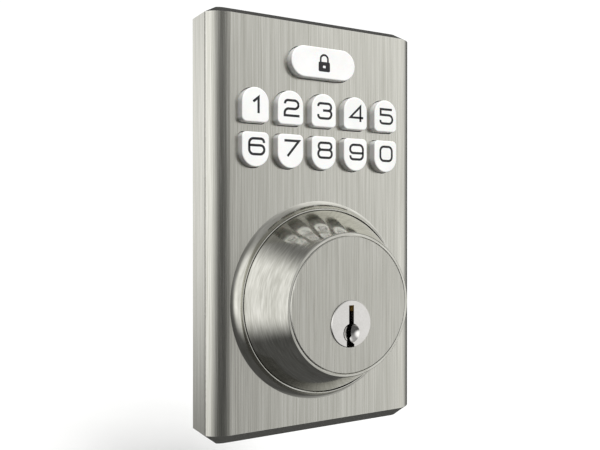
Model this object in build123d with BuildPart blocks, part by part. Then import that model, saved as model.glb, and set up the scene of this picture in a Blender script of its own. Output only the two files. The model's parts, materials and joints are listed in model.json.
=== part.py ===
"""Keypad smart lock, exterior unit.

Frame, in millimetres: +X is right as seen by a person at the door, +Y points into the door and
+Z is up. The origin is on the door's face, on the axis of the key plug and its tailpiece.
"""

from build123d import *
from math import asin, cos, degrees, radians, sin, sqrt, tan
import os

os.makedirs("parts", exist_ok=True)

# ---- Housing ----
cover_width = 68.0
face_height = 112.8        # flat face between the bevels of the two ends
face_centre_z = 26.7       # height of the face's middle above the plug axis
front_y = -12.7            # front face
cover_back_y = -1.0        # rear rim, where the gasket starts
wall = 2.0
roll_width = 6.0           # the long edges roll back over this width
roll_radius = 7.36
bevel_inset = 3.8
top_bevel_rise = 2.1
bottom_bevel_rise = 3.0
crease_groove = 0.3        # groove along each long edge, where the roll meets the side
end_wall_top = 2.4
end_wall_bottom = 2.9

# ---- Keys ----
key_width = 8.04
key_height = 9.4
key_corner = 1.35
key_pitch = 10.79
upper_row_z = 58.65
lower_row_z = 46.65
pill_length = 21.1
pill_height = 8.75
pill_z = 72.0
key_proud = 2.35           # how far a key stands out of the face
key_gap = 0.27             # clearance around a key in its hole
key_edge_round = 0.35
flange_width = 0.85
flange_thickness = 0.8
flange_lash = 0.1          # play between a flange and the inside of the cover
plunger_radius = 1.5
plunger_height = 0.25

# ---- Key cylinder, sleeve and rosette ----
knob_z = 5.05              # the cylinder's axis, above the plug axis
disc_radius = 18.4
disc_front_y = -28.3
disc_thickness = 1.2
disc_edge = 0.25
barrel_radius = 16.0
barrel_back_y = -2.2
sleeve_gap = 0.15          # gap at each end of the sleeve
sleeve_fit = 0.06          # radial running clearance on the barrel and on the rosette
sleeve_slope = 27.1        # degrees, half-angle of the sleeve's cone
sleeve_wall = 3.0
sleeve_rim_radius = 25.6   # wide end of the cone, level with the crest of the cove
sleeve_rim_height = 2.9    # above the face
sleeve_front_round = 1.3   # how far the round of the cone's front edge reaches
front_land = 3.0           # length of the sleeve's front bearing on the barrel
rosette_radius = 28.05
rosette_floor = 1.9        # floor inside the cove above the face
rosette_bore = 17.2
rosette_inner_radius = 25.75
cove_foot_height = 0.1     # the cove's hollow profile, as heights above the face
cove_middle = (26.75, 0.95)
cove_crest = (25.93, 3.1)
hub_radius = 22.3          # the rosette's hub, which carries the sleeve's rear end
hub_height = 3.8
spigot_radius = 22.5
spigot_depth = 3.0
cover_bore_radius = 22.55

# ---- Plug and pins ----
plug_radius = 6.3
plug_bore_radius = 6.35
plug_front_y = -28.7
plug_back_y = -0.9
keyway_width = 1.56
chamber_radius = 1.45
pin_radius = 1.42
first_pin_y = -23.6
pin_pitch = 3.81
key_pin_lengths = [4.1, 5.0, 4.4, 5.6, 4.7]
chamber_floor_z = 0.2
driver_bottom_z = 6.4
driver_length = 5.2
spring_length = 5.6
spring_wire_radius = 0.14
spring_turns = 7

# ---- Mounting side ----
plate_thickness = 1.2
plate_play = 0.15
post_spacing = 38.1
post_radius = 3.75
post_end_y = 20.0
post_thread_radius = 2.1   # tapping drill of an M5 thread
post_thread_depth = 16.0
tail_end_y = 48.0
gasket_inset = 0.8
cross_bore_radius = 27.0   # hole in the door behind the unit
grommet_z = -19.0
grommet_bore = 2.5

# ---- Derived values ----
half_width = cover_width / 2
face_top_z = face_centre_z + face_height / 2
face_bottom_z = face_centre_z - face_height / 2
top_z = face_top_z + top_bevel_rise
bottom_z = face_bottom_z - bottom_bevel_rise
inner_front_y = front_y + wall
cavity_top_z = top_z - end_wall_top
cavity_bottom_z = bottom_z + end_wall_bottom
flange_front_y = inner_front_y + flange_lash
flange_back_y = flange_front_y + flange_thickness
plunger_y = flange_back_y + plunger_height
plate_front_y = cover_back_y - plate_thickness
hole_start_y = inner_front_y + 1   # the tools that cut through the front start here
hole_cut = wall + 2
knob_axis = Axis((0, 0, knob_z), (0, 1, 0))
upper_keys = [("1", -2), ("2", -1), ("3", 0), ("4", 1), ("5", 2)]
lower_keys = [("6", -2), ("7", -1), ("8", 0), ("9", 1), ("0", 2)]
key_places = [(digit, column * key_pitch, upper_row_z, 1) for digit, column in upper_keys]
key_places += [(digit, column * key_pitch, lower_row_z, -1) for digit, column in lower_keys]
pin_ys = [first_pin_y + row * pin_pitch for row in range(5)]


def facing(y, x=0.0, z=0.0):
    """Plane at depth y that looks out of the door; its own axes are X and Z."""
    return Plane(origin=(x, y, z), x_dir=(1, 0, 0), z_dir=(0, -1, 0))


def disc_at(y, radius, x=0.0, z=0.0):
    """Round sketch that faces out of the door."""
    with BuildSketch(facing(y, x, z)) as disc:
        Circle(radius)
    return disc.sketch


def key_outline(plane, grow, arch):
    """Key shape: a half-round outer end (arch +1 is up) and a flat end with small corners."""
    half = key_width / 2 + grow
    height = key_height + 2 * grow
    with BuildSketch(plane) as outline:
        with Locations((0, -arch * half / 2)):
            Rectangle(2 * half, height - half)
        flat_end = outline.vertices().group_by(Axis.Y)[0 if arch > 0 else -1]
        fillet(flat_end, key_corner + grow)
        with Locations((0, arch * (height / 2 - half))):
            Circle(half)
    return outline.sketch


def pill_outline(plane, grow):
    """Outline of the lock button, a bar with two round ends."""
    with BuildSketch(plane) as outline:
        SlotOverall(pill_length + 2 * grow, pill_height + 2 * grow)
    return outline.sketch


def cover_outline(plane, inset):
    """Cross-section of the housing: flat front, rolled edges, then a crease and flat sides."""
    radius = roll_radius - inset
    side_x = half_width - inset
    roll_x = half_width - roll_width
    roll_y = front_y + roll_radius
    sweep_angle = degrees(asin((side_x - roll_x) / radius))
    with BuildSketch(plane) as outline:
        with BuildLine():
            right = CenterArc((roll_x, roll_y), radius, -90, sweep_angle)
            left = CenterArc((-roll_x, roll_y), radius, -90 - sweep_angle, sweep_angle)
            Polyline(right @ 1, (side_x, cover_back_y), (-side_x, cover_back_y), left @ 0)
            Line(left @ 1, right @ 0)
        make_face()
    return outline.sketch


def save(part, name):
    """Label a finished piece and write it under its own name."""
    part.label = name
    export_step(part, f"parts/{name}.step")


# ---- Screw places, as X and Z ----
cover_screw_places = [(x, z) for x in (-28.2, 28.2) for z in (-25.6, 32.5, 78.6)]
board_screw_places = [(x, z) for x in (-23.5, 23.5) for z in (38.3, 72.5)]
cylinder_screw_places = [(-11.0, knob_z), (11.0, knob_z)]
driver_slot_width = 0.5
driver_slot_depth = 0.4
head_clearance = 0.1
tip_clearance = 0.3


def flat_head_screws(places, head_y, head_radius, shank_radius, length):
    """Countersunk screws driven from behind; head_y is the flush face of the heads."""
    head_height = head_radius - shank_radius
    slot_length = 1.6 * head_radius
    with BuildPart() as screws:
        for x, z in places:
            with BuildSketch(Plane(origin=(x, 0, z), x_dir=(1, 0, 0), z_dir=(0, 0, 1))):
                with BuildLine():
                    Polyline(
                        (0, head_y),
                        (head_radius, head_y),
                        (shank_radius, head_y - head_height),
                        (shank_radius, head_y - length + shank_radius),
                        (0, head_y - length),
                        close=True,
                    )
                make_face()
            revolve(axis=Axis((x, 0, z), (0, 1, 0)))
            with Locations(Location(facing(head_y, x, z))):
                Box(slot_length, driver_slot_width, 2 * driver_slot_depth, mode=Mode.SUBTRACT)
                Box(driver_slot_width, slot_length, 2 * driver_slot_depth, mode=Mode.SUBTRACT)
    return screws.part


def screw_holes(places, head_y, head_radius, shank_radius, length):
    """Cone and shank clearance of a set of countersunk screws."""
    cone_radius = head_radius + head_clearance
    open_y = head_y + 0.5
    tip_y = head_y - length - tip_clearance
    with BuildPart() as holes:
        for x, z in places:
            with BuildSketch(Plane(origin=(x, 0, z), x_dir=(1, 0, 0), z_dir=(0, 0, 1))):
                with BuildLine():
                    Polyline(
                        (0, open_y),
                        (cone_radius, open_y),
                        (cone_radius, head_y),
                        (shank_radius, head_y - cone_radius + shank_radius),
                        (shank_radius, tip_y),
                        (0, tip_y),
                        close=True,
                    )
                make_face()
            revolve(axis=Axis((x, 0, z), (0, 1, 0)))
    return holes.part


# ---- Fasteners ----
cover_screw = dict(head_y=cover_back_y, head_radius=2.2, shank_radius=1.1, length=6.4)
board_screw = dict(head_y=-3.8, head_radius=1.9, shank_radius=0.9, length=5.2)
cylinder_screw = dict(head_y=cover_back_y, head_radius=2.9, shank_radius=1.75, length=8.0)

save(flat_head_screws(cover_screw_places, **cover_screw), "cover_screws")
save(flat_head_screws(board_screw_places, **board_screw), "board_screws")
save(flat_head_screws(cylinder_screw_places, **cylinder_screw), "cylinder_screws")

# ---- Front cover: die-cast shell with key holes, a cylinder hole and screw bosses ----
board_y = -6.4
board_thickness = 1.6
cover_boss_radius = 3.0
board_boss_radius = 2.1

with BuildPart() as front_cover:
    extrude(cover_outline(Plane.XY.offset(face_bottom_z), 0), amount=face_height)
    for face_z, end_z in ((face_top_z, top_z), (face_bottom_z, bottom_z)):
        foot = cover_outline(Plane.XY.offset(face_z), 0)
        crown = cover_outline(Plane.XY.offset(end_z), bevel_inset)
        loft([foot, crown], ruled=True)
    extrude(
        cover_outline(Plane.XY.offset(cavity_bottom_z), wall),
        amount=cavity_top_z - cavity_bottom_z,
        mode=Mode.SUBTRACT,
    )
    crease_y = front_y + roll_radius - sqrt(roll_radius**2 - roll_width**2)
    with Locations(*[(side * half_width, crease_y, face_centre_z) for side in (-1, 1)]):
        Box(2 * crease_groove, crease_groove, face_height + 2, mode=Mode.SUBTRACT)
    for x, z in cover_screw_places:
        boss = disc_at(plate_front_y, cover_boss_radius, x, z)
        extrude(boss, amount=plate_front_y - inner_front_y)
    for x, z in board_screw_places:
        extrude(disc_at(board_y, board_boss_radius, x, z), amount=board_y - inner_front_y)
    for digit, x, z, arch in key_places:
        hole = key_outline(facing(hole_start_y, x, z), key_gap, arch)
        extrude(hole, amount=hole_cut, mode=Mode.SUBTRACT)
    pill_hole = pill_outline(facing(hole_start_y, 0, pill_z), key_gap)
    extrude(pill_hole, amount=hole_cut, mode=Mode.SUBTRACT)
    bore = disc_at(hole_start_y, cover_bore_radius, 0, knob_z)
    extrude(bore, amount=hole_cut, mode=Mode.SUBTRACT)
    add(screw_holes(cover_screw_places, **cover_screw), mode=Mode.SUBTRACT)
    add(screw_holes(board_screw_places, **board_screw), mode=Mode.SUBTRACT)

save(front_cover.part, "front_cover")

# ---- Keys and lock button: moulded caps with a retaining flange and a plunger ----
key_face_y = front_y - key_proud


def moulded_key(outline_at, x, z):
    """Cap, flange and plunger of one key. outline_at(plane, grow) draws its outline."""
    with BuildPart() as key:
        extrude(outline_at(facing(flange_front_y, x, z), 0), amount=flange_front_y - key_face_y)
        fillet(key.faces().sort_by(Axis.Y)[0].edges(), key_edge_round)
        flange = outline_at(facing(flange_back_y, x, z), flange_width)
        extrude(flange, amount=flange_thickness)
        extrude(disc_at(plunger_y, plunger_radius, x, z), amount=plunger_height)
    return key.part


for digit, x, z, arch in key_places:
    key = moulded_key(lambda plane, grow, arch=arch: key_outline(plane, grow, arch), x, z)
    save(key, f"key_{digit}")

save(moulded_key(pill_outline, 0, pill_z), "lock_button")

# ---- Keypad: silicone sheet, domes, contact pads and the board ----
sheet_y = -7.2
sheet_half_width = 27.0
sheet_bottom_z = 40.8
sheet_shoulder_z = 65.2
sheet_top_z = 77.2
sheet_top_width = 26.0     # narrower part behind the lock button
dome_base_radius = 2.9
dome_top_radius = 1.7
dome_wall = 0.5
dome_roof = 0.8
dome_bevel = 0.3
dome_shoulder = 0.35
dome_places = [(x, z) for digit, x, z, arch in key_places] + [(0, pill_z)]
dome_top_y = plunger_y + 0.02

with BuildPart() as keypad_membrane:
    with BuildSketch(facing(board_y)):
        with Locations((0, (sheet_bottom_z + sheet_shoulder_z) / 2)):
            Rectangle(2 * sheet_half_width, sheet_shoulder_z - sheet_bottom_z)
        with Locations((0, (sheet_shoulder_z + sheet_top_z) / 2)):
            Rectangle(sheet_top_width, sheet_top_z - sheet_shoulder_z)
        with Locations(*dome_places):
            Circle(dome_base_radius, mode=Mode.SUBTRACT)
    extrude(amount=board_y - sheet_y)

save(keypad_membrane.part, "keypad_membrane")

with BuildPart() as key_domes:
    for x, z in dome_places:
        with BuildSketch(Plane(origin=(x, 0, z), x_dir=(1, 0, 0), z_dir=(0, 0, 1))):
            with BuildLine():
                Polyline(
                    (dome_base_radius, board_y),
                    (dome_base_radius, sheet_y),
                    (dome_top_radius, dome_top_y + dome_shoulder),
                    (dome_top_radius - dome_bevel, dome_top_y),
                    (0, dome_top_y),
                    (0, dome_top_y + dome_roof),
                    (dome_top_radius - dome_wall, dome_top_y + dome_roof),
                    (dome_base_radius - dome_wall, sheet_y + dome_shoulder),
                    (dome_base_radius - dome_wall, board_y),
                    close=True,
                )
            make_face()
        revolve(axis=Axis((x, 0, z), (0, 1, 0)))

save(key_domes.part, "key_domes")

pad_radius = 1.8
pad_thickness = 0.1

with BuildPart() as contact_pads:
    for x, z in dome_places:
        extrude(disc_at(board_y, pad_radius, x, z), amount=pad_thickness)

save(contact_pads.part, "contact_pads")

board_width = 54.0
board_height = 40.2
board_centre_z = 56.3
board_corner = 3.0
board_hole_radius = 1.1
board_back_y = board_y + board_thickness

with BuildPart() as circuit_board:
    with BuildSketch(facing(board_back_y)):
        with Locations((0, board_centre_z)):
            RectangleRounded(board_width, board_height, board_corner)
        with Locations(*board_screw_places):
            Circle(board_hole_radius, mode=Mode.SUBTRACT)
    extrude(amount=board_thickness)

save(circuit_board.part, "circuit_board")

# ---- Parts soldered to the back of the board ----
chip_side = 9.0
chip_thickness = 1.2
chip_bevel = 0.2
chip_x = -8.0
chip_z = 58.0
buzzer_radius = 4.5
buzzer_height = 1.9
buzzer_vent = 0.8
buzzer_x = 13.0
buzzer_z = 60.0
socket_width = 10.0
socket_height = 4.6
socket_depth = 2.2
socket_z = 40.4
socket_mouth_width = 8.4
socket_mouth_depth = 1.3
socket_mouth_length = 3.0
socket_mouth_y = board_back_y + 1.2
socket_mouth_z = 38.9

with BuildPart() as controller_chip:
    with BuildSketch(facing(board_back_y + chip_thickness, chip_x, chip_z)):
        Rectangle(chip_side, chip_side)
    extrude(amount=chip_thickness)
    chamfer(controller_chip.faces().sort_by(Axis.Y)[-1].edges(), chip_bevel)

save(controller_chip.part, "controller_chip")

with BuildPart() as buzzer:
    buzzer_back_y = board_back_y + buzzer_height
    extrude(disc_at(buzzer_back_y, buzzer_radius, buzzer_x, buzzer_z), amount=buzzer_height)
    vent = disc_at(buzzer_back_y, buzzer_vent, buzzer_x, buzzer_z)
    extrude(vent, amount=buzzer_vent, mode=Mode.SUBTRACT)

save(buzzer.part, "buzzer")

with BuildPart() as cable_socket:
    with BuildSketch(facing(board_back_y + socket_depth, 0, socket_z)):
        Rectangle(socket_width, socket_height)
    extrude(amount=socket_depth)
    with Locations((0, socket_mouth_y, socket_mouth_z)):
        Box(socket_mouth_width, socket_mouth_depth, socket_mouth_length, mode=Mode.SUBTRACT)

save(cable_socket.part, "cable_socket")

# ---- Rosette: turned cove around the sleeve, with a hub that the sleeve turns on ----
floor_y = front_y - rosette_floor
hub_y = front_y - hub_height


def above_face(radius, height):
    """Profile point at a radius from the knob's axis and a height above the front face."""
    return (radius, front_y - height)


with BuildPart() as rosette:
    with BuildSketch(Plane.XY.offset(knob_z)):
        with BuildLine():
            cove = ThreePointArc(
                above_face(rosette_radius, cove_foot_height),
                above_face(*cove_middle),
                above_face(*cove_crest),
            )
            Polyline(
                cove @ 1,
                above_face(rosette_inner_radius, cove_crest[1]),
                (rosette_inner_radius, floor_y),
                (hub_radius, floor_y),
                (hub_radius, hub_y),
                (rosette_bore, hub_y),
                (rosette_bore, front_y + spigot_depth),
                (spigot_radius, front_y + spigot_depth),
                (spigot_radius, front_y),
                (rosette_radius, front_y),
                cove @ 0,
            )
        make_face()
    revolve(axis=knob_axis)

save(rosette.part, "rosette")

# ---- Guard sleeve: a hollow cone that turns freely around the cylinder ----
sleeve_front_y = disc_front_y + disc_thickness + sleeve_gap
sleeve_back_y = floor_y - sleeve_gap
land_back_y = sleeve_front_y + front_land
sleeve_bore = barrel_radius + sleeve_fit
socket_radius = hub_radius + sleeve_fit
socket_y = hub_y - sleeve_gap
sleeve_rim_y = front_y - sleeve_rim_height
slope = radians(sleeve_slope)


def sleeve_radius(y):
    """Outside radius of the sleeve's cone at depth y."""
    return sleeve_rim_radius + tan(slope) * (y - sleeve_rim_y)


front_corner = sleeve_radius(sleeve_front_y)

with BuildPart() as guard_sleeve:
    with BuildSketch(Plane.XY.offset(knob_z)):
        with BuildLine():
            front_edge = TangentArc(
                (front_corner - sleeve_front_round, sleeve_front_y),
                (
                    front_corner + sleeve_front_round * sin(slope),
                    sleeve_front_y + sleeve_front_round * cos(slope),
                ),
                tangent=(1, 0),
            )
            Polyline(
                front_edge @ 1,
                (sleeve_rim_radius, sleeve_rim_y),
                (sleeve_rim_radius, sleeve_back_y),
                (socket_radius, sleeve_back_y),
                (socket_radius, socket_y),
                (sleeve_radius(socket_y) - sleeve_wall, socket_y),
                (sleeve_radius(land_back_y) - sleeve_wall, land_back_y),
                (sleeve_bore, land_back_y),
                (sleeve_bore, sleeve_front_y),
                front_edge @ 0,
            )
        make_face()
    revolve(axis=knob_axis)

save(guard_sleeve.part, "guard_sleeve")

# ---- Cylinder body: face disc and barrel, bored for the plug and its pin chambers ----
strip_z = 18.4
strip_width = 4.5
strip_length = 20.3
strip_height = 1.5
strip_play = 0.1
strip_bevel = 0.2
strip_y = (pin_ys[0] + pin_ys[-1]) / 2
barrel_top_z = knob_z + barrel_radius

with BuildPart() as cylinder_body:
    extrude(
        disc_at(disc_front_y + disc_thickness, disc_radius, 0, knob_z), amount=disc_thickness
    )
    chamfer(cylinder_body.faces().sort_by(Axis.Y)[0].edges(), disc_edge)
    extrude(
        disc_at(barrel_back_y, barrel_radius, 0, knob_z),
        amount=barrel_back_y - disc_front_y - disc_thickness,
    )
    plug_bore = disc_at(barrel_back_y + 1, plug_bore_radius)
    extrude(plug_bore, amount=barrel_back_y - disc_front_y + 2, mode=Mode.SUBTRACT)
    with Locations(*[(0, y, 0) for y in pin_ys]):
        Cylinder(
            chamber_radius,
            barrel_top_z + 1,
            align=(Align.CENTER, Align.CENTER, Align.MIN),
            mode=Mode.SUBTRACT,
        )
    with Locations((0, strip_y, strip_z)):
        Box(
            strip_width + strip_play,
            strip_length + strip_play,
            barrel_top_z - strip_z + 1,
            align=(Align.CENTER, Align.CENTER, Align.MIN),
            mode=Mode.SUBTRACT,
        )
    add(screw_holes(cylinder_screw_places, **cylinder_screw), mode=Mode.SUBTRACT)

save(cylinder_body.part, "cylinder_body")

with BuildPart() as chamber_cover:
    with Locations((0, strip_y, strip_z)):
        Box(
            strip_width,
            strip_length,
            strip_height,
            align=(Align.CENTER, Align.CENTER, Align.MIN),
        )
    chamfer(chamber_cover.faces().sort_by(Axis.Z)[-1].edges(), strip_bevel)

save(chamber_cover.part, "chamber_cover")

# ---- Plug: keyway with wards, key guide dish, pin chambers and a slot for the tailpiece ----
clip_y = -2.1
clip_thickness = 0.7
clip_play = 0.04
clip_groove_radius = 5.4
clip_radius = 7.5
clip_mouth = 8.4           # width of the clip's open side
clip_mouth_z = -3.5        # height at which the open side starts
blade_width = 6.4
blade_thickness = 2.4
blade_corner = 0.5
blade_bevel = 0.3
blade_start_y = -4.4
guide_radius = 3.0
guide_z = -2.4
guide_depth = 1.5
plug_bevel = 0.15
keyway_end_y = blade_start_y - 1.2
half_slot = keyway_width / 2
keyway_profile = [         # straight blade slot above, two wards below
    (-half_slot, 5.0),
    (half_slot, 5.0),
    (half_slot, -3.4),
    (half_slot - 0.65, -4.0),
    (half_slot - 0.65, -4.8),
    (half_slot + 0.15, -5.4),
    (half_slot + 0.15, -7.0),
    (-half_slot - 0.75, -7.0),
    (-half_slot - 0.75, -4.6),
    (-half_slot - 0.1, -4.1),
    (-half_slot - 0.1, -3.2),
    (-half_slot, -3.0),
]

with BuildPart() as plug:
    extrude(disc_at(plug_back_y, plug_radius), amount=plug_back_y - plug_front_y)
    chamfer(plug.faces().sort_by(Axis.Y)[0].edges(), plug_bevel)
    with BuildSketch(facing(keyway_end_y)):
        with BuildLine():
            Polyline(*keyway_profile, close=True)
        make_face()
    extrude(amount=keyway_end_y - plug_front_y + 1, mode=Mode.SUBTRACT)
    with Locations((0, plug_front_y + guide_depth - guide_radius, guide_z)):
        Sphere(guide_radius, mode=Mode.SUBTRACT)
    with Locations(*[(0, y, chamber_floor_z) for y in pin_ys]):
        Cylinder(
            chamber_radius,
            plug_radius + 1,
            align=(Align.CENTER, Align.CENTER, Align.MIN),
            mode=Mode.SUBTRACT,
        )
    with BuildSketch(facing(clip_y + clip_thickness)):
        Circle(plug_radius + 1)
        Circle(clip_groove_radius, mode=Mode.SUBTRACT)
    extrude(amount=clip_thickness, mode=Mode.SUBTRACT)
    with Locations((0, (blade_start_y + plug_back_y + 1) / 2, 0)):
        Box(blade_thickness, plug_back_y + 1 - blade_start_y, blade_width, mode=Mode.SUBTRACT)

save(plug.part, "plug")

with BuildPart() as plug_clip:
    with BuildSketch(facing(clip_y + clip_thickness - clip_play / 2)):
        Circle(clip_radius)
        Circle(clip_groove_radius, mode=Mode.SUBTRACT)
        with Locations((0, clip_mouth_z - clip_radius / 2)):
            Rectangle(clip_mouth, clip_radius, mode=Mode.SUBTRACT)
    extrude(amount=clip_thickness - clip_play)

save(plug_clip.part, "plug_clip")

with BuildPart() as tailpiece:
    with BuildSketch(facing(tail_end_y)):
        RectangleRounded(blade_thickness, blade_width, blade_corner)
    extrude(amount=tail_end_y - blade_start_y)
    chamfer(tailpiece.faces().sort_by(Axis.Y)[-1].edges(), blade_bevel)

save(tailpiece.part, "tailpiece")

# ---- Pin stacks, parted at the shear line as they are with the right key in ----
shear_z = sqrt(plug_radius**2 - pin_radius**2) - 0.01
pin_tip_radius = 0.45
pin_tip_height = 0.9
driver_bevel = 0.2

with BuildPart() as key_pins:
    for y, length in zip(pin_ys, key_pin_lengths):
        with BuildSketch(Plane(origin=(0, y, 0), x_dir=(1, 0, 0), z_dir=(0, -1, 0))):
            with BuildLine():
                Polyline(
                    (0, shear_z),
                    (pin_radius, shear_z),
                    (pin_radius, shear_z - length + pin_tip_height),
                    (pin_tip_radius, shear_z - length),
                    (0, shear_z - length),
                    close=True,
                )
            make_face()
        revolve(axis=Axis((0, y, 0), (0, 0, 1)))

save(key_pins.part, "key_pins")

with BuildPart() as driver_pins:
    for y in pin_ys:
        with BuildSketch(Plane.XY.offset(driver_bottom_z)):
            with Locations((0, y)):
                Circle(pin_radius)
        extrude(amount=driver_length)
    chamfer(driver_pins.edges().filter_by(GeomType.CIRCLE), driver_bevel)

save(driver_pins.part, "driver_pins")

spring_bottom_z = driver_bottom_z + driver_length + 0.05
spring_mean_radius = 1.15
spring_pitch = (spring_length - 2 * spring_wire_radius) / spring_turns

with BuildPart() as pin_springs:
    for y in pin_ys:
        start = (0, y, spring_bottom_z + spring_wire_radius)
        with BuildLine() as coil:
            Helix(
                pitch=spring_pitch,
                height=spring_pitch * spring_turns,
                radius=spring_mean_radius,
                center=start,
            )
        with BuildSketch(Plane(origin=coil.line @ 0, z_dir=coil.line % 0)):
            Circle(spring_wire_radius)
        sweep(path=coil.line, is_frenet=True)

save(pin_springs.part, "pin_springs")

# ---- Back plate, posts, grommet and gasket ----
plate_width = cover_width - 2 * wall - 2 * plate_play
plate_top_z = cavity_top_z - plate_play
plate_bottom_z = cavity_bottom_z + plate_play
plate_height = plate_top_z - plate_bottom_z
plate_centre_z = (plate_top_z + plate_bottom_z) / 2
post_places = [(-post_spacing / 2, 0), (post_spacing / 2, 0)]
plate_corner = 1.2
rivet_radius = 2.6
post_bevel = 0.4
tail_hole_radius = 8.6
grommet_neck = 3.6
grommet_flange = 4.8
grommet_lip = 0.8
grommet_bevel = 0.4

with BuildPart() as back_plate:
    with BuildSketch(facing(cover_back_y, 0, plate_centre_z)):
        RectangleRounded(plate_width, plate_height, plate_corner)
    extrude(amount=plate_thickness)
    with BuildSketch(facing(cover_back_y + 1)):
        Circle(tail_hole_radius)
        with Locations(*post_places):
            Circle(rivet_radius)
        with Locations((0, grommet_z)):
            Circle(grommet_neck)
    extrude(amount=plate_thickness + 2, mode=Mode.SUBTRACT)
    add(screw_holes(cover_screw_places, **cover_screw), mode=Mode.SUBTRACT)
    add(screw_holes(cylinder_screw_places, **cylinder_screw), mode=Mode.SUBTRACT)

save(back_plate.part, "back_plate")

with BuildPart() as mounting_posts:
    for x, z in post_places:
        extrude(disc_at(post_end_y, post_radius, x, z), amount=post_end_y - cover_back_y)
    chamfer(mounting_posts.faces().group_by(Axis.Y)[-1].edges(), post_bevel)
    for x, z in post_places:
        extrude(disc_at(cover_back_y, rivet_radius, x, z), amount=plate_thickness)
        thread = disc_at(post_end_y + 1, post_thread_radius, x, z)
        extrude(thread, amount=post_thread_depth + 1, mode=Mode.SUBTRACT)

save(mounting_posts.part, "mounting_posts")

with BuildPart() as cable_grommet:
    with BuildSketch(Plane.XY.offset(grommet_z)):
        with BuildLine():
            Polyline(
                (grommet_bore, plate_front_y - grommet_lip),
                (grommet_flange - grommet_bevel, plate_front_y - grommet_lip),
                (grommet_flange, plate_front_y - grommet_lip + grommet_bevel),
                (grommet_flange, plate_front_y),
                (grommet_neck, plate_front_y),
                (grommet_neck, cover_back_y),
                (grommet_flange, cover_back_y),
                (grommet_flange, cover_back_y + grommet_lip - grommet_bevel),
                (grommet_flange - grommet_bevel, cover_back_y + grommet_lip),
                (grommet_bore, cover_back_y + grommet_lip),
                close=True,
            )
        make_face()
    revolve(axis=Axis((0, 0, grommet_z), (0, 1, 0)))

save(cable_grommet.part, "cable_grommet")

gasket_top_z = face_top_z - gasket_inset
gasket_bottom_z = face_bottom_z + gasket_inset
gasket_corner = 2.0

with BuildPart() as rear_gasket:
    with BuildSketch(facing(0)):
        with Locations((0, (gasket_top_z + gasket_bottom_z) / 2)):
            RectangleRounded(
                cover_width - 2 * gasket_inset, gasket_top_z - gasket_bottom_z, gasket_corner
            )
        Circle(cross_bore_radius, mode=Mode.SUBTRACT)
    extrude(amount=-cover_back_y)

save(rear_gasket.part, "rear_gasket")
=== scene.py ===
"""Keypad smart lock, exterior unit: finishes, printed signs, studio light and camera."""

import json
import math

import bmesh
import bpy
from mathutils import Matrix, Vector


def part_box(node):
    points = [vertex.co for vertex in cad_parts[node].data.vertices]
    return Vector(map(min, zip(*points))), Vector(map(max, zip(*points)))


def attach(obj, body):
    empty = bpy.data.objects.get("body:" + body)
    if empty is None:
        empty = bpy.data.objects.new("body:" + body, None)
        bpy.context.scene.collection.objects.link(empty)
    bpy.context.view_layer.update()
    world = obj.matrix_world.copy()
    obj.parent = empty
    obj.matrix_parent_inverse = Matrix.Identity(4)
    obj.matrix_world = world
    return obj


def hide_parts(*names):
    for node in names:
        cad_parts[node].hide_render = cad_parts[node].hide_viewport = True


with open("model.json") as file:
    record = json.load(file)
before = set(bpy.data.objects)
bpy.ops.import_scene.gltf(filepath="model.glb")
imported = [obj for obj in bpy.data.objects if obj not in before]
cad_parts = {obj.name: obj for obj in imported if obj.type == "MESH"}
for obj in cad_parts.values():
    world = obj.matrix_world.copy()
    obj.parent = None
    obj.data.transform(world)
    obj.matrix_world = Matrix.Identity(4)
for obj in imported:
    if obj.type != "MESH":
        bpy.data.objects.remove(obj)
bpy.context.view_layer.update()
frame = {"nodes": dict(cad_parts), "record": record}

MM = 0.001
NODES = frame["nodes"]
KNOB_AXIS_Z = sum(corner.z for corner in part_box("rosette")) / 2


def linear(code):
    """sRGB hex value to the linear colour that a shader takes."""
    channels = [int(code[i : i + 2], 16) / 255 for i in (1, 3, 5)]
    return [c / 12.92 if c <= 0.04045 else ((c + 0.055) / 1.055) ** 2.4 for c in channels] + [1.0]


def add_node(tree, kind, sockets=None, **settings):
    """One node with its settings, and its sockets set or linked."""
    made = tree.nodes.new(kind)
    for name, value in settings.items():
        setattr(made, name, value)
    for socket, value in (sockets or {}).items():
        if isinstance(value, bpy.types.NodeSocket):
            tree.links.new(value, made.inputs[socket])
        else:
            made.inputs[socket].default_value = value
    return made


# ---- Finishes ----
SCRATCH_CONTRAST = (0.36, 0.64)   # the noise's middle range, spread over the two tones
GRAIN_RANGE = (0.3, 0.7)          # nearly all of the noise, for gloss and dents
RUBBED_RANGE = (0.80, 0.995)      # how far a normal turns at a rubbed edge
DENT_MM = 0.9                     # size of the small dents that break up a rubbed edge
DENT_DEPTH = 0.35                 # how much rubbing is left in a dent
MARK_STRENGTH = 0.35              # how strongly the marks' relief tilts the light
RUBBED_GLOSS = 0.8                # roughness of a rubbed edge, against the smoothest mark
SLEEVE_RADIUS_MM = 22


def grain(tree, place, size_mm, detail):
    """Noise whose grains have the given size in millimetres along each axis."""
    stretch = add_node(
        tree,
        "ShaderNodeVectorMath",
        {0: place, 1: [1 / (size * MM) for size in size_mm]},
        operation="MULTIPLY",
    )
    noise = add_node(
        tree,
        "ShaderNodeTexNoise",
        {"Vector": stretch.outputs[0], "Scale": 1.0, "Detail": detail, "Roughness": 0.55},
    )
    return noise.outputs[0]


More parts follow.
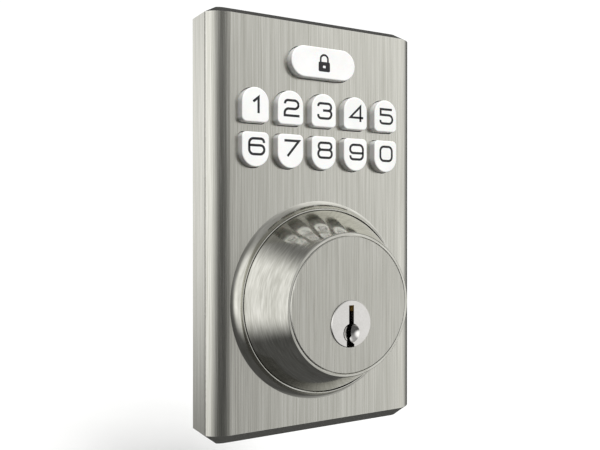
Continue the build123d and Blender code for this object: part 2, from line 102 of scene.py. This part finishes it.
def rubbed_edges(tree, place, radius_mm):
    """1 along rubbed edges and 0 on open faces, broken up by small dents."""
    rounded = add_node(tree, "ShaderNodeBevel", {"Radius": radius_mm * MM}, samples=4)
    geometry = add_node(tree, "ShaderNodeNewGeometry")
    match = add_node(
        tree,
        "ShaderNodeVectorMath",
        {0: rounded.outputs[0], 1: geometry.outputs["True Normal"]},
        operation="DOT_PRODUCT",
    )
    low, high = RUBBED_RANGE
    edge = add_node(
        tree, "ShaderNodeMapRange", {0: match.outputs["Value"], 1: low, 2: high, 3: 1.0, 4: 0.0}
    )
    dents = grain(tree, place, (DENT_MM,) * 3, 2.0)
    low, high = GRAIN_RANGE
    broken = add_node(
        tree, "ShaderNodeMapRange", {0: dents, 1: low, 2: high, 3: DENT_DEPTH, 4: 1.0}
    )
    worn = add_node(
        tree, "ShaderNodeMath", {0: edge.outputs[0], 1: broken.outputs[0]}, operation="MULTIPLY"
    )
    return worn.outputs[0]


def place_round_knob(tree, place, streak_mm):
    """Place on a turned part: across its profile, and round the axis a circle whose size
    makes the streaks streak_mm long at the sleeve's radius."""
    moved = add_node(
        tree, "ShaderNodeVectorMath", {0: place, 1: (0, 0, KNOB_AXIS_Z)}, operation="SUBTRACT"
    )
    flat = add_node(
        tree, "ShaderNodeVectorMath", {0: moved.outputs[0], 1: (1, 0, 1)}, operation="MULTIPLY"
    )
    radius = add_node(tree, "ShaderNodeVectorMath", {0: flat.outputs[0]}, operation="LENGTH")
    turn = add_node(tree, "ShaderNodeVectorMath", {0: flat.outputs[0]}, operation="NORMALIZE")
    circle = add_node(
        tree,
        "ShaderNodeVectorMath",
        {0: turn.outputs[0], "Scale": SLEEVE_RADIUS_MM / streak_mm * MM},
        operation="SCALE",
    )
    depth = add_node(tree, "ShaderNodeSeparateXYZ", {0: place})
    across = add_node(
        tree,
        "ShaderNodeMath",
        {0: radius.outputs["Value"], 1: depth.outputs["Y"]},
        operation="SUBTRACT",
    )
    profile = add_node(tree, "ShaderNodeCombineXYZ", {1: across.outputs[0]})
    return add_node(
        tree, "ShaderNodeVectorMath", {0: circle.outputs[0], 1: profile.outputs[0]}
    ).outputs[0]


def finish(
    name,
    tones,
    marks_mm,
    broad_mm,
    broad_share,
    gloss,
    bump_mm,
    wear_mm,
    streak_mm=None,
    brushing_axis=None,
    **sockets,
):
    """A real surface: fine marks over broad ones shift it between its dark and light tone,
    the fine marks also set its gloss and relief, and its edges are rubbed to a third tone.
    streak_mm is for marks that run round the knob, and brushing_axis for brushed metal.
    The remaining sockets are the shader's own values."""
    material = bpy.data.materials.new(name)
    material.use_nodes = True
    tree = material.node_tree
    tree.nodes.clear()
    shader = add_node(tree, "ShaderNodeBsdfPrincipled")
    for socket, value in sockets.items():
        shader.inputs[socket.replace("_", " ")].default_value = value
    add_node(tree, "ShaderNodeOutputMaterial", {"Surface": shader.outputs["BSDF"]})

    solid_place = add_node(tree, "ShaderNodeTexCoord").outputs["Object"]
    place = place_round_knob(tree, solid_place, streak_mm) if streak_mm else solid_place
    fine = grain(tree, place, marks_mm, 3.0)
    broad = grain(tree, place, broad_mm, 2.0)
    worn = rubbed_edges(tree, solid_place, wear_mm)
    marks = add_node(
        tree, "ShaderNodeMix", {0: broad_share, 2: fine, 3: broad}, data_type="FLOAT"
    )
    low, high = SCRATCH_CONTRAST
    level = add_node(tree, "ShaderNodeMapRange", {0: marks.outputs[0], 1: low, 2: high})
    dark, light, rubbed = (linear(tone) for tone in tones)
    body = add_node(
        tree, "ShaderNodeMix", {0: level.outputs[0], 6: dark, 7: light}, data_type="RGBA"
    )
    colour = add_node(
        tree, "ShaderNodeMix", {0: worn, 6: body.outputs[2], 7: rubbed}, data_type="RGBA"
    )
    low, high = GRAIN_RANGE
    smoothest, roughest = gloss
    rough = add_node(
        tree, "ShaderNodeMapRange", {0: fine, 1: low, 2: high, 3: smoothest, 4: roughest}
    )
    polished = add_node(
        tree,
        "ShaderNodeMix",
        {0: worn, 2: rough.outputs[0], 3: smoothest * RUBBED_GLOSS},
        data_type="FLOAT",
    )
    relief = add_node(
        tree,
        "ShaderNodeBump",
        {"Strength": MARK_STRENGTH, "Distance": bump_mm * MM, "Height": fine},
    )
    tree.links.new(colour.outputs[2], shader.inputs["Base Color"])
    tree.links.new(polished.outputs[0], shader.inputs["Roughness"])
    tree.links.new(relief.outputs[0], shader.inputs["Normal"])
    if brushing_axis:
        round_axis = add_node(
            tree, "ShaderNodeTangent", direction_type="RADIAL", axis=brushing_axis
        )
        tree.links.new(round_axis.outputs[0], shader.inputs["Tangent"])
    return material


# Satin nickel plate on die-cast zinc, brushed upright: an even warm grey whose parallel
# scratches catch the light as light and dark hairs. Real scratches are about 0.05 mm
# apart; these are coarse enough to show.
SATIN = ("#B8B7AE", "#DAD9D1", "#E8E7E2")
cover_nickel = finish(
    "satin_nickel_brushed_upright", SATIN, (0.20, 0.20, 22), (0.7, 0.7, 60), 0.3,
    gloss=(0.17, 0.26), bump_mm=0.004, wear_mm=0.35, brushing_axis="Z",
    Metallic=1.0, Anisotropic=0.45,
)
disc_nickel = finish(
    "satin_nickel_brushed_disc", SATIN, (0.20, 0.20, 14), (0.6, 0.6, 40), 0.3,
    gloss=(0.26, 0.36), bump_mm=0.004, wear_mm=0.25, brushing_axis="Z",
    Metallic=1.0, Anisotropic=0.5,
)
# The same plate brushed on a lathe: fine rings, glossy along them.
turned_nickel = finish(
    "satin_nickel_brushed_round", SATIN, (0.7, 0.22, 0.7), (1.4, 0.9, 1.4), 0.35,
    gloss=(0.07, 0.12), bump_mm=0.0015, wear_mm=0.3, streak_mm=6, brushing_axis="Y",
    Metallic=1.0, Anisotropic=0.35, Anisotropic_Rotation=0.25,
)
# Bright nickel, buffed: almost white, with faint wiping marks.
plug_nickel = finish(
    "polished_nickel", ("#E0DEDA", "#EAE8E5", "#F3F2F0"), (0.3, 2, 0.3), (2, 5, 2), 0.3,
    gloss=(0.10, 0.18), bump_mm=0.002, wear_mm=0.2, Metallic=1.0,
)
# Yellow machined brass with turning marks.
brass = finish(
    "machined_brass", ("#B8924A", "#D2AE66", "#E2C483"), (0.4, 0.4, 0.15), (3, 3, 3), 0.3,
    gloss=(0.22, 0.34), bump_mm=0.01, wear_mm=0.2, Metallic=1.0,
)
# Zinc plate on stamped steel: cool grey with a cloudy spangle and a faint blue tint.
zinc_steel = finish(
    "zinc_plated_steel", ("#9FA4A8", "#BCC1C4", "#D3D7D9"), (1.6, 1.6, 1.6), (6, 6, 6), 0.4,
    gloss=(0.30, 0.44), bump_mm=0.01, wear_mm=0.3, Metallic=1.0,
)
# Drawn spring wire and strip: darker grey with marks along the drawing.
spring_steel = finish(
    "drawn_spring_steel", ("#7D7F82", "#9A9CA0", "#B4B6BA"), (0.5, 0.2, 0.5), (2, 2, 2), 0.3,
    gloss=(0.25, 0.36), bump_mm=0.006, wear_mm=0.1, Metallic=1.0,
)
# Thin gold flash over copper pads: warm and smooth.
gold_flash = finish(
    "gold_flashed_copper", ("#C79A3C", "#DDB35A", "#E8C67A"), (0.6, 0.6, 0.6), (2, 2, 2), 0.3,
    gloss=(0.16, 0.26), bump_mm=0.002, wear_mm=0.1, Metallic=1.0,
)
# White ABS keys, moulded with a fine satin face; light passes a little way in at the rims.
key_plastic = finish(
    "abs_moulded_white", ("#ECECEA", "#F4F4F2", "#F8F8F7"), (0.25,) * 3, (6,) * 3, 0.7,
    gloss=(0.30, 0.40), bump_mm=0.004, wear_mm=0.2,
    IOR=1.53, Subsurface_Weight=0.06, Subsurface_Scale=0.8 * MM,
)
# Pad-printed ink: thin, matt, near black.
key_ink = finish(
    "pad_printed_black_ink", ("#161617", "#232325", "#2B2B2D"), (0.2,) * 3, (1,) * 3, 0.5,
    gloss=(0.42, 0.55), bump_mm=0.003, wear_mm=0.1, IOR=1.50,
)
# Translucent silicone sheet: milky and soft, with a dusty surface.
silicone = finish(
    "moulded_silicone", ("#C6C6C2", "#D6D6D2", "#DEDEDB"), (0.4,) * 3, (6,) * 3, 0.7,
    gloss=(0.45, 0.60), bump_mm=0.01, wear_mm=0.2,
    IOR=1.41, Subsurface_Weight=0.25, Subsurface_Scale=1.5 * MM,
)
# Filled epoxy moulded round the chips: near black, lightly pitted.
black_plastic = finish(
    "moulded_black_epoxy", ("#121213", "#1D1D1F", "#333336"), (0.2,) * 3, (3,) * 3, 0.5,
    gloss=(0.35, 0.50), bump_mm=0.006, wear_mm=0.1, IOR=1.55,
)
# Unfilled nylon: warm white and slightly waxy.
white_nylon = finish(
    "moulded_white_nylon", ("#DAD6C8", "#E6E3D8", "#EFEDE4"), (0.3,) * 3, (4,) * 3, 0.6,
    gloss=(0.38, 0.50), bump_mm=0.006, wear_mm=0.15, IOR=1.53,
)
# Moulded rubber: matt charcoal that greys where it is handled.
black_rubber = finish(
    "moulded_black_rubber", ("#1B1B1C", "#262627", "#3A3A3B"), (0.3,) * 3, (5,) * 3, 0.6,
    gloss=(0.60, 0.78), bump_mm=0.012, wear_mm=0.3, IOR=1.52,
)
# Closed-cell foam: matt dark grey with open cells about 0.4 mm across.
foam_rubber = finish(
    "closed_cell_foam", ("#1E1E1F", "#303031", "#3C3C3D"), (0.4,) * 3, (4,) * 3, 0.3,
    gloss=(0.82, 0.95), bump_mm=0.12, wear_mm=0.2, IOR=1.50,
)
# Green solder mask over woven glass laminate: glossy, with paler copper runs below.
solder_mask = finish(
    "green_solder_mask", ("#0E4A2A", "#1D6A3D", "#2C7A4C"), (0.5,) * 3, (1.1, 1.1, 7), 0.8,
    gloss=(0.22, 0.34), bump_mm=0.01, wear_mm=0.1, IOR=1.56, Coat_Weight=0.4, Coat_Roughness=0.12,
)

SLOT_FINISHES = {
    "satin_nickel": cover_nickel,
    "plug_nickel": plug_nickel,
    "key_plastic": key_plastic,
    "brass": brass,
    "spring_steel": spring_steel,
    "zinc_steel": zinc_steel,
    "silicone": silicone,
    "gold_contact": gold_flash,
    "circuit_board": solder_mask,
    "black_plastic": black_plastic,
    "white_nylon": white_nylon,
    "black_rubber": black_rubber,
    "foam_rubber": foam_rubber,
}
KNOB_FINISHES = {
    "cylinder_body": disc_nickel,
    "guard_sleeve": turned_nickel,
    "rosette": turned_nickel,
}

for subpart in frame["record"]["subparts"]:
    worn_by = subpart["node"]
    mesh = NODES[worn_by].data
    mesh.materials.clear()
    mesh.materials.append(KNOB_FINISHES.get(worn_by, SLOT_FINISHES[subpart["material_slot"]]))


# ---- Guard sleeve ----
# In mm; depth is measured back from the front face of the frame's own sleeve.
CONE_ANGLE = math.radians(27.1)
CONE_RADIUS = 19.79        # at depth 0
RIM_DEPTH = -1.15          # the front rim stands round the disc's edge
RIM_BORE = 18.5
REAR_RADIUS = 25.6
SOCKET_RADIUS = 22.36
BORE_RADIUS = 16.06
SLEEVE_STEPS = 288
SHARP_TURN = math.radians(35)


def on_cone(depth):
    """Point of the sleeve's section on its cone."""
    return (CONE_RADIUS + depth * math.tan(CONE_ANGLE), depth)


RIM_RADIUS = on_cone(RIM_DEPTH)[0]
# The section is turned round the axis. Close pairs of points keep the cone straight.
SLEEVE_SECTION = [
    (RIM_BORE, 0.0),
    (RIM_BORE, RIM_DEPTH + 0.05),
    (RIM_BORE + 0.05, RIM_DEPTH),
    (RIM_RADIUS - 0.20, RIM_DEPTH),
    (RIM_RADIUS - 0.08, RIM_DEPTH + 0.01),
    (RIM_RADIUS, RIM_DEPTH + 0.08),
    on_cone(-0.99),
    on_cone(-0.65),
    on_cone(11.03),
    on_cone(11.25),
    (REAR_RADIUS, 11.42),
    (REAR_RADIUS, 11.70),
    (REAR_RADIUS, 12.20),
    (SOCKET_RADIUS, 12.20),
    (SOCKET_RADIUS, 10.30),
    (22.05, 10.30),
    (18.30, 3.00),
    (BORE_RADIUS, 3.00),
    (BORE_RADIUS, 0.00),
]


def turn_sleeve():
    """The guard sleeve, with its thin front rim carried round the edge of the disc."""
    low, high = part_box("guard_sleeve")
    axis = Vector(((low.x + high.x) / 2, 0, (low.z + high.z) / 2))
    mesh = bmesh.new()
    rings = []
    for step in range(SLEEVE_STEPS):
        turn = Matrix.Rotation(2 * math.pi * step / SLEEVE_STEPS, 3, "Y")
        rings.append(
            [
                mesh.verts.new(axis + turn @ Vector((radius * MM, low.y + depth * MM, 0)))
                for radius, depth in SLEEVE_SECTION
            ]
        )
    count = len(SLEEVE_SECTION)
    for one, two in zip(rings, rings[1:] + rings[:1]):
        for k in range(count):
            following = (k + 1) % count
            face = mesh.faces.new((one[k], two[k], two[following], one[following]))
            face.smooth = True
    bmesh.ops.recalc_face_normals(mesh, faces=mesh.faces)
    for edge in mesh.edges:
        if edge.calc_face_angle(0) > SHARP_TURN:
            edge.smooth = False
    data = bpy.data.meshes.new("turned_guard_sleeve")
    mesh.to_mesh(data)
    mesh.free()
    data.materials.append(turned_nickel)
    sleeve = bpy.data.objects.new("turned_guard_sleeve", data)
    bpy.context.scene.collection.objects.link(sleeve)
    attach(sleeve, "guard_sleeve")
    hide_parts("guard_sleeve")


turn_sleeve()


# ---- Printed signs ----
INK_DEPTH = 0.06 * MM      # the ink starts this far inside the plastic
INK_PROUD = 0.02 * MM
STROKE = 0.68 * MM
DIGIT_WIDTH = 4.5 * MM     # between the middles of the outer strokes
DIGIT_HEIGHT = 4.2 * MM
DIGIT_SHIFT_X = 0.25 * MM
UPPER_ROW_SHIFT_Z = -0.10 * MM
LOWER_ROW_SHIFT_Z = 0.80 * MM
ROUND = 0.30               # corner radius as a share of the digit's height
CORNER_STEPS = 6
MITRE_LIMIT = 0.42         # keeps a sharp corner's point short
LAYER = 0.002 * MM         # crossing strokes lie this far apart, so that neither flickers

# Each stroke lists (x, height, corner radius) in shares of the digit's width and height.
DIGIT_STROKES = {
    "0": [("closed", (0, 0, ROUND), (0.94, 0, ROUND), (0.94, 1, ROUND), (0, 1, ROUND))],
    "1": [("open", (0.27, 0.70, 0), (0.62, 1, 0), (0.62, -0.02, 0))],
    "2": [
        ("open", (0.02, 0.76, 0), (0.02, 1, 0.22), (0.97, 1, ROUND), (0.97, 0.45, ROUND),
         (0, 0.45, ROUND), (0, 0, 0), (1.04, 0, 0)),
    ],
    "3": [
        ("open", (0, 0.79, 0), (0, 1, 0.18), (0.95, 1, 0.23), (0.95, 0.53, 0.22), (0.35, 0.53, 0)),
        ("open", (0.50, 0.53, 0), (0.97, 0.53, 0.22), (0.97, 0, 0.30), (0, 0, 0.20),
         (0, 0.26, 0)),
    ],
    "4": [("open", (1.02, 0.24, 0), (0.02, 0.24, 0), (0.80, 1.02, 0), (0.80, -0.04, 0))],
    "5": [
        ("open", (0.95, 1, 0), (0.02, 1, 0), (0.02, 0.60, 0), (0.98, 0.60, ROUND),
         (0.98, 0, ROUND), (0, 0, 0.20), (0, 0.24, 0)),
    ],
    "6": [
        ("open", (0.98, 0.74, 0), (0.98, 1, 0.22), (0, 1, ROUND), (0, 0, ROUND),
         (1, 0, ROUND), (1, 0.57, 0.26), (0, 0.57, 0)),
    ],
    "7": [("open", (-0.02, 1, 0), (1, 1, 0), (0.20, -0.02, 0))],
    "8": [
        ("closed", (0, 0, 0.25), (1, 0, 0.25), (1, 0.53, 0.25), (0, 0.53, 0.25)),
        ("closed", (0.03, 0.53, 0.22), (0.97, 0.53, 0.22), (0.97, 1, 0.22), (0.03, 1, 0.22)),
    ],
    "9": [
        ("open", (0.02, 0.26, 0), (0.02, 0, 0.22), (1, 0, ROUND), (1, 1, ROUND),
         (0, 1, ROUND), (0, 0.43, 0.26), (1, 0.43, 0)),
    ],
}


def rounded_line(corners, closed):
    """Points along a stroke whose corners are turned into arcs."""
    points = []
    count = len(corners)
    for i, (x, z, radius) in enumerate(corners):
        here = Vector((x, z))
        if radius == 0 or (not closed and i in (0, count - 1)):
            points.append(here)
            continue
        before = (Vector(corners[i - 1][:2]) - here).normalized()
        after = (Vector(corners[(i + 1) % count][:2]) - here).normalized()
        half_angle = before.angle(after) / 2
        reach = radius / math.tan(half_angle)
        centre = here + (before + after).normalized() * radius / math.sin(half_angle)
        start = here + before * reach - centre
        turn = before.angle_signed(after)
        sweep = math.copysign(math.pi - abs(turn), turn)
        for step in range(CORNER_STEPS + 1):
            spin = Matrix.Rotation(sweep * step / CORNER_STEPS, 2)
            points.append(centre + spin @ start)
    return points


def stroke_edges(points, closed, half):
    """Left and right edge points of a stroke, mitred at its corners."""
    left, right = [], []
    count = len(points)
    for i, here in enumerate(points):
        back = points[i - 1] if closed or i > 0 else None
        ahead = points[(i + 1) % count] if closed or i < count - 1 else None
        if back is None:
            along = (ahead - here).normalized()
            normal = Vector((-along.y, along.x)) * half
        elif ahead is None:
            along = (here - back).normalized()
            normal = Vector((-along.y, along.x)) * half
        else:
            first = (here - back).normalized()
            second = (ahead - here).normalized()
            mitre = (Vector((-first.y, first.x)) + Vector((-second.y, second.x))).normalized()
            shrink = max(mitre.dot(Vector((-second.y, second.x))), MITRE_LIMIT)
            normal = mitre * half / shrink
        left.append(here + normal)
        right.append(here - normal)
    return left, right


def add_stroke(mesh, corners, closed, half, front_y, back_y, layer):
    """One flat raised stroke from back_y to front_y, with its face lifted by layer."""
    points = rounded_line(corners, closed)
    left, right = stroke_edges(points, closed, half)
    rings = []
    for a, b in zip(left, right):
        rings.append(
            [
                mesh.verts.new((a.x, front_y - layer, a.y)),
                mesh.verts.new((b.x, front_y - layer, b.y)),
                mesh.verts.new((b.x, back_y, b.y)),
                mesh.verts.new((a.x, back_y, a.y)),
            ]
        )
    pairs = list(zip(rings, rings[1:]))
    if closed:
        pairs.append((rings[-1], rings[0]))
    for one, two in pairs:
        for k in range(4):
            mesh.faces.new((one[k], two[k], two[(k + 1) % 4], one[(k + 1) % 4]))
    if not closed:
        mesh.faces.new(rings[0])
        mesh.faces.new(rings[-1][::-1])


def finish_sign(mesh, name, body):
    """A printed piece that rides on its key, from a sign's mesh."""
    bmesh.ops.recalc_face_normals(mesh, faces=mesh.faces)
    data = bpy.data.meshes.new(name)
    mesh.to_mesh(data)
    mesh.free()
    data.materials.append(key_ink)
    sign = bpy.data.objects.new(name, data)
    bpy.context.scene.collection.objects.link(sign)
    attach(sign, body)


def print_digit(digit):
    """The digit printed on its key."""
    key = f"key_{digit}"
    low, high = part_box(key)
    row_shift = UPPER_ROW_SHIFT_Z if digit in "12345" else LOWER_ROW_SHIFT_Z
    middle_x = (low.x + high.x) / 2 + DIGIT_SHIFT_X
    middle_z = (low.z + high.z) / 2 + row_shift
    mesh = bmesh.new()
    for layer, (kind, *corners) in enumerate(DIGIT_STROKES[digit]):
        placed = [
            (
                middle_x + (x - 0.5) * DIGIT_WIDTH,
                middle_z + (z - 0.5) * DIGIT_HEIGHT,
                radius * DIGIT_HEIGHT,
            )
            for x, z, radius in corners
        ]
        add_stroke(
            mesh,
            placed,
            kind == "closed",
            STROKE / 2,
            low.y - INK_PROUD,
            low.y + INK_DEPTH,
            layer * LAYER,
        )
    finish_sign(mesh, f"digit_{digit}", key)


# The padlock, from the middle of the button.
SHACKLE_HALF = 1.2 * MM
SHACKLE_FOOT = 0.2 * MM
SHACKLE_TOP = 2.3 * MM
SHACKLE_ROUND = 1.15 * MM
SHACKLE_STROKE = 0.56 * MM
CASE_HALF = 1.9 * MM
CASE_FOOT = -2.4 * MM
CASE_TOP = 0.35 * MM
CASE_ROUND = 0.45 * MM
KEYHOLE_RADIUS = 0.5 * MM


def print_padlock():
    """A plain padlock sign printed on the lock button."""
    low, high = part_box("lock_button")
    middle_x = (low.x + high.x) / 2
    middle_z = (low.z + high.z) / 2
    front_y = low.y - INK_PROUD
    back_y = low.y + INK_DEPTH
    mesh = bmesh.new()
    shackle = [
        (middle_x - SHACKLE_HALF, middle_z + SHACKLE_FOOT, 0),
        (middle_x - SHACKLE_HALF, middle_z + SHACKLE_TOP, SHACKLE_ROUND),
        (middle_x + SHACKLE_HALF, middle_z + SHACKLE_TOP, SHACKLE_ROUND),
        (middle_x + SHACKLE_HALF, middle_z + SHACKLE_FOOT, 0),
    ]
    add_stroke(mesh, shackle, False, SHACKLE_STROKE / 2, front_y, back_y, LAYER)
    # The case is a filled frame around a round keyhole.
    outline = rounded_line(
        [
            (middle_x - CASE_HALF, middle_z + CASE_FOOT, CASE_ROUND),
            (middle_x + CASE_HALF, middle_z + CASE_FOOT, CASE_ROUND),
            (middle_x + CASE_HALF, middle_z + CASE_TOP, CASE_ROUND),
            (middle_x - CASE_HALF, middle_z + CASE_TOP, CASE_ROUND),
        ],
        True,
    )
    centre = Vector((middle_x, middle_z + (CASE_FOOT + CASE_TOP) / 2))
    hole = [centre + (point - centre).normalized() * KEYHOLE_RADIUS for point in outline]
    rings = [
        [
            mesh.verts.new((outer.x, front_y, outer.y)),
            mesh.verts.new((inner.x, front_y, inner.y)),
            mesh.verts.new((inner.x, back_y, inner.y)),
            mesh.verts.new((outer.x, back_y, outer.y)),
        ]
        for outer, inner in zip(outline, hole)
    ]
    for one, two in zip(rings, rings[1:] + rings[:1]):
        for k in range(4):
            mesh.faces.new((one[k], two[k], two[(k + 1) % 4], one[(k + 1) % 4]))
    finish_sign(mesh, "padlock_sign", "lock_button")


for digit in DIGIT_STROKES:
    print_digit(digit)
print_padlock()


# ---- Camera ----
camera_data = bpy.data.cameras.new("camera")
camera_data.lens = 43.43
camera_data.sensor_width = 36.0
camera_data.clip_start = 0.01
camera_data.clip_end = 20.0
camera = bpy.data.objects.new("camera", camera_data)
camera.location = (-0.10885, -0.18842, 0.02728)
camera.rotation_euler = (math.radians(89.736), 0.0, math.radians(-30.2))
bpy.context.scene.collection.objects.link(camera)
bpy.context.scene.camera = camera


# ---- Studio ----
# Every glow is a soft panel that only the metal mirrors. Azimuth is from the front, + to
# the right. A glow fades from its inner to its outer chord, and squeeze is above 1 for a
# low, wide one. The last is a dark flag between the left panel and the one behind it.
GLOWS = [
    # azimuth, elevation, inner, outer, squeeze, radiance
    (-100, 8, 0.65, 1.35, 1.6, 1.00),
    (-62, 4, 0.10, 0.50, 0.8, 0.25),
    (-165, 5, 0.20, 0.80, 1.8, 0.40),
    (56, 15, 0.20, 0.95, 0.5, 0.95),
    (0, 62, 0.30, 1.20, 1.0, 0.30),
    (-132, 0, 0.05, 0.32, 0.3, -0.40),
]
DIM = 0.10
BEHIND_THE_UNIT = 1.05     # plain white backdrop
LIGHT_ON_MATT = 0.16       # even light that falls on plastic, rubber and the floor

world = bpy.data.worlds.new("studio")
world.use_nodes = True
world.cycles.sampling_method = "NONE"
tree = world.node_tree
tree.nodes.clear()
way = add_node(tree, "ShaderNodeTexCoord").outputs["Generated"]
total = None
for azimuth, elevation, inner, outer, squeeze, radiance in GLOWS:
    a, e = math.radians(azimuth), math.radians(elevation)
    middle = (math.sin(a) * math.cos(e), -math.cos(a) * math.cos(e), math.sin(e))
    offset = add_node(tree, "ShaderNodeVectorMath", {0: way, 1: middle}, operation="SUBTRACT")
    shaped = add_node(
        tree,
        "ShaderNodeVectorMath",
        {0: offset.outputs[0], 1: (1, 1, squeeze)},
        operation="MULTIPLY",
    )
    chord = add_node(tree, "ShaderNodeVectorMath", {0: shaped.outputs[0]}, operation="LENGTH")
    glow = add_node(
        tree,
        "ShaderNodeMapRange",
        {0: chord.outputs["Value"], 1: inner, 2: outer, 3: radiance, 4: 0.0},
        interpolation_type="SMOOTHSTEP",
    ).outputs[0]
    total = add_node(
        tree, "ShaderNodeMath", {0: total if total else DIM, 1: glow}, operation="ADD"
    ).outputs[0]
WHITE = (1, 1, 1, 1)
mirrored = add_node(tree, "ShaderNodeBackground", {"Color": WHITE, "Strength": total})
matt = add_node(tree, "ShaderNodeBackground", {"Color": WHITE, "Strength": LIGHT_ON_MATT})
backdrop = add_node(tree, "ShaderNodeBackground", {"Color": WHITE, "Strength": BEHIND_THE_UNIT})
ray = add_node(tree, "ShaderNodeLightPath")
lit = add_node(
    tree,
    "ShaderNodeMixShader",
    {0: ray.outputs["Is Glossy Ray"], 1: matt.outputs[0], 2: mirrored.outputs[0]},
)
seen = add_node(
    tree,
    "ShaderNodeMixShader",
    {0: ray.outputs["Is Camera Ray"], 1: lit.outputs[0], 2: backdrop.outputs[0]},
)
add_node(tree, "ShaderNodeOutputWorld", {"Surface": seen.outputs[0]})
bpy.context.scene.world = world
bpy.context.scene.view_settings.view_transform = "Standard"

# Lamps for the matt surfaces: one from the front, and one from above for the floor.
LAMPS = [
    # name, azimuth, elevation, irradiance in W/m2, angle in degrees
    ("lamp_front", -10, 30, 3.35, 20),
    ("lamp_above", 10, 86, 1.5, 40),
]
for name, azimuth, elevation, strength, angle in LAMPS:
    a, e = math.radians(azimuth), math.radians(elevation)
    away = Vector((math.sin(a) * math.cos(e), -math.cos(a) * math.cos(e), math.sin(e)))
    data = bpy.data.lights.new(name, "SUN")
    data.energy = strength
    data.angle = math.radians(angle)
    lamp = bpy.data.objects.new(name, data)
    lamp.rotation_euler = (-away).to_track_quat("-Z", "Y").to_euler()
    lamp.visible_glossy = False
    bpy.context.scene.collection.objects.link(lamp)

# Plain pale floor below the unit, which hangs on a door in use.
FLOOR_Z = -0.12
FLOOR_HALF = 6.0
floor_mesh = bmesh.new()
corners = [(-1, -1), (1, -1), (1, 1), (-1, 1)]
floor_mesh.faces.new(
    [floor_mesh.verts.new((x * FLOOR_HALF, y * FLOOR_HALF, FLOOR_Z)) for x, y in corners]
)
floor_data = bpy.data.meshes.new("floor")
floor_mesh.to_mesh(floor_data)
floor_mesh.free()
# Matt painted board, almost white.
floor_data.materials.append(
    finish(
        "matt_white_board", ("#F8F8F7", "#FBFBFA", "#FBFBFA"), (60,) * 3, (200,) * 3, 0.5,
        gloss=(0.85, 0.95), bump_mm=0.01, wear_mm=0.2,
    )
)
floor = bpy.data.objects.new("floor", floor_data)
floor.visible_glossy = False
floor.visible_diffuse = False
bpy.context.scene.collection.objects.link(floor)
